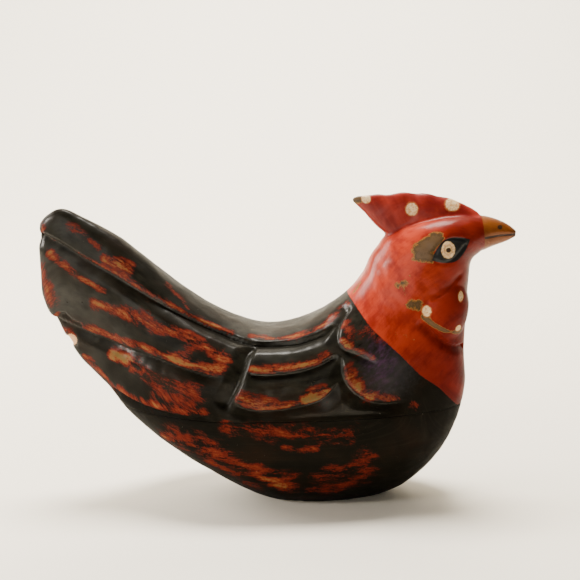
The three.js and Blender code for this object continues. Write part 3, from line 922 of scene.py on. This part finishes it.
lid_coat, tree = new_material("lacquer and paint of the lid")
lay_own = own(tree, "lay", "Vector")
spot = stretched(node(tree, "TexCoord").outputs["Object"], (1 / length,) * 3)
x_own, _, z_own = node(tree, "SeparateXYZ", {0: spot}).outputs
wobble = swing(grain(spot, (150, 150, 150), 3.0), 0.5)


def dab(middle, size, edge=1.0, soft=0.08, rough=1.0):
    """A dab of a round brush, its middle and half sizes in shares of the length."""
    far = use(tree, dabbed_oval, {"Place": spot, "Middle": (middle[0], 0, middle[1]),
                                  "Size": (size[0], 1, size[1])})["Distance"]
    return less(1.0, ease(plus(far, times(wobble, rough)), edge - soft, edge + soft))


def painted(colour, shade):
    return use(tree, brushed_paint, {"Colour": colour, "Shade": shade, "Lay": lay_own,
                                     "Scuff": own(tree, "scuff")})


back = lacquered(tree)
# Painted shade: the head's red darkens toward the throat and the lower breast, which lie in shadow.
painted_throat_shade = times(ease(less(x_own, times(z_own, 0.35)), 0.04, 0.24), 0.88)
head_red, head_shade = (0.375, 0.037, 0.015, 1), (0.205, 0.012, 0.005, 1)
throat_red_painted_shade, throat_dark_painted_shade = (0.085, 0.0028, 0.0018, 1), (0.050, 0.0018, 0.0014, 1)
head = painted(blend(painted_throat_shade, head_red, throat_red_painted_shade), blend(painted_throat_shade, head_shade, throat_dark_painted_shade))
crest = painted((0.27, 0.026, 0.016, 1), (0.12, 0.007, 0.006, 1))
beak = painted((0.165, 0.047, 0.008, 1), (0.090, 0.024, 0.005, 1))
edge_wobble = times(wobble, 1.6)
on_red = ease(plus(own(tree, "red"), edge_wobble), -0.25, 0.25)
on_comb = ease(plus(own(tree, "comb"), edge_wobble), -0.3, 0.3)
beak_root = plus(0.4225, times(less(0.61, z_own), 0.1))
on_beak = ease(plus(less(x_own, beak_root), times(wobble, 0.006)), -0.0012, 0.0012)
paint = blend(on_comb, head["Colour"], crest["Colour"])
paint = blend(on_beak, paint, beak["Colour"])

# On the shoulder the black is mixed toward slate grey in one patch and toward a faint violet in
# another.
slate, violet = (0.034, 0.033, 0.040, 1), (0.060, 0.024, 0.062, 1)
slaty = times(dab((0.232, 0.300), (0.062, 0.056), 0.65, 0.6, 1.5), 0.45)
violet_patch = times(dab((0.212, 0.322), (0.040, 0.062), 0.65, 0.65, 2.0),
              ease(grain(lay_own, (0.16, 0.4, 3.0), 4.0, 0.6, (9, 4, 0)), 0.36, 0.66))
shoulder = blend(times(violet_patch, 0.7), blend(slaty, back["Colour"], slate), violet)
colour = blend(on_red, shoulder, paint)
rough = node(tree, "Mix", {0: on_red, 2: back["Roughness"], 3: head["Roughness"]}).outputs[0]
height = node(tree, "Mix", {0: on_red, 2: back["Height"], 3: head["Height"]}).outputs[0]

# Cream dots, three on the comb and three on the wattle, each with a thin ochre rim.
cream = ramp(grain(spot, (260, 260, 260), 4.0), [
    (0.36, (0.42, 0.20, 0.07)), (0.50, (0.58, 0.40, 0.21)), (0.66, (0.64, 0.49, 0.30))])
ochre_rim = (0.34, 0.11, 0.035, 1)
for middle, size in [
    ((0.184, 0.641), (0.0095, 0.0085)),
    ((0.278, 0.621), (0.0125, 0.0130)),
    ((0.362, 0.630), (0.0150, 0.0130)),
    ((0.305, 0.421), (0.0095, 0.0115)),
    ((0.376, 0.449), (0.0060, 0.0100)),
    ((0.373, 0.382), (0.0062, 0.0070)),
]:
    colour = blend(times(dab(middle, size, 1.12, 0.14), 0.7), colour, ochre_rim)
    colour = blend(dab(middle, size, 0.95), colour, cream)

# The eye: a black almond with two drawn-out corners, a cream ring with a thin line and a brown pupil.
# The beak has a nostril, a mouth line and a darkened tip.
eye_black, eye_line = (0.010, 0.0105, 0.011, 1), (0.30, 0.17, 0.07, 1)
pupil_brown, nostril_brown = (0.028, 0.016, 0.010, 1), (0.03, 0.015, 0.008, 1)
mouth_brown = (0.022, 0.010, 0.006, 1)
almond_half, almond_rise, almond_turn = 0.0455, 0.0255, math.radians(27)
turned = stretched(spot, (1, 1, 1), (-0.3545, 0, -0.5435))
turned = node(tree, "VectorRotate", {0: turned, 3: almond_turn}, rotation_type="Y_AXIS").outputs[0]
eye_x, _, eye_z = node(tree, "SeparateXYZ", {0: turned}).outputs
from_middle = arith("ABSOLUTE", arith("DIVIDE", eye_x, almond_half))
bow = less(1.0, arith("POWER", from_middle, 1.8), clamp=True)
inside = less(times(bow, almond_rise), arith("ABSOLUTE", eye_z))
inside = plus(inside, times(wobble, 0.004))
colour = blend(ease(inside, 0.0003, 0.0018), colour, eye_black)
iris, iris_line = (0.348, 0.5445), (0.0085, 0.0100)
colour = blend(dab(iris, (0.0150, 0.0178), 0.95, 0.07, 0.5), colour, cream)
within_line = dab(iris, iris_line, 0.78, 0.12, 0.8)
ring_line = times(dab(iris, iris_line, 1.1, 0.12, 0.8), less(1.0, within_line))
colour = blend(times(ring_line, 0.6), colour, eye_line)
colour = blend(dab((0.3485, 0.544), (0.0052, 0.0052), 1.0, 0.15), colour, pupil_brown)
colour = blend(dab((0.4605, 0.5840), (0.0056, 0.0044), 1.0, 0.14), colour, nostril_brown)
gape = times(less(1.0, ease(plus(own(tree, "mouth"), wobble), 0.45, 0.95)), on_beak)
tip = times(ease(x_own, 0.478, 0.498), 0.6)
colour = blend(arith("MAXIMUM", gape, tip), colour, mouth_brown)
finish_material(tree, colour, rough, height, skin_relief, back["Coat"])
lid = dress("carved_lid", lid, lid_coat)
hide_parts("lid")
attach(lid, "root")

# The studio: a plain pale floor that turns up into a wall far behind, three soft window lights from
# the left, a wide dim one from the room in front, and one that lights the wall.
bend, front, top, side = 0.9, -3.0, 4.0, 4.0
profile = [(front, 0.0)]
for a in np.linspace(0, math.pi / 2, 24):
    profile.append((bend + bend * math.sin(a), bend - bend * math.cos(a)))
profile.append((2 * bend, top))
floor_mesh = bpy.data.meshes.new("floor")
floor_mesh.from_pydata([(x, y, z) for y, z in profile for x in (-side, side)], [],
                       [(2 * i, 2 * i + 1, 2 * i + 3, 2 * i + 2) for i in range(len(profile) - 1)])
for face in floor_mesh.polygons:
    face.use_smooth = True
floor = placed("floor", floor_mesh)
floor_paint, tree = new_material("pale floor")
node(tree, "OutputMaterial", {0: node(tree, "BsdfPrincipled", {
    "Base Color": (0.74, 0.69, 0.60, 1), "Roughness": 0.8}).outputs[0]})
floor_mesh.materials.append(floor_paint)

for name, stand, aim, size, watts, colour in [
    ("window", (-1.15, 0.25, 0.85), (0, 0, 0.08), 0.7, 26, (1.0, 0.95, 0.87)),
    ("front", (-1.25, -0.6, 0.65), (0, 0, 0.1), 0.26, 15, (1.0, 0.92, 0.82)),
    ("low window", (-1.25, -0.05, 0.30), (0, 0, 0.12), 0.3, 6, (1.0, 0.95, 0.87)),
    ("room", (-0.7, -1.9, 0.55), (0, 0, 0.12), 1.5, 13, (1.0, 0.96, 0.86)),
    ("wall", (0, 0.6, 2.4), (0, 1.8, 0.8), 1.2, 290, (1.0, 0.95, 0.86)),
]:
    light = bpy.data.lights.new(name, "AREA")
    light.shape = "DISK"
    light.size = size
    light.energy = watts
    light.color = colour
    lamp = placed(name, light)
    lamp.location = stand
    lamp.rotation_euler = (Vector(aim) - Vector(stand)).to_track_quat("-Z", "Y").to_euler()
world = bpy.data.worlds.new("room")
world.use_nodes = True
background = world.node_tree.nodes["Background"].inputs
background["Color"].default_value = (0.90, 0.85, 0.76, 1)
background["Strength"].default_value = 0.05
bpy.context.scene.world = world

# The camera looks from where the photograph was taken, a little above the box and square to its side.
camera_data = bpy.data.cameras.new("camera")
camera_data.lens = 67.03
camera_data.sensor_width = 36
camera = placed("camera", camera_data)
camera.location = (0.008, -0.670, 0.274)
camera.rotation_euler = (math.radians(78.2), 0, 0)
bpy.context.scene.camera = camera
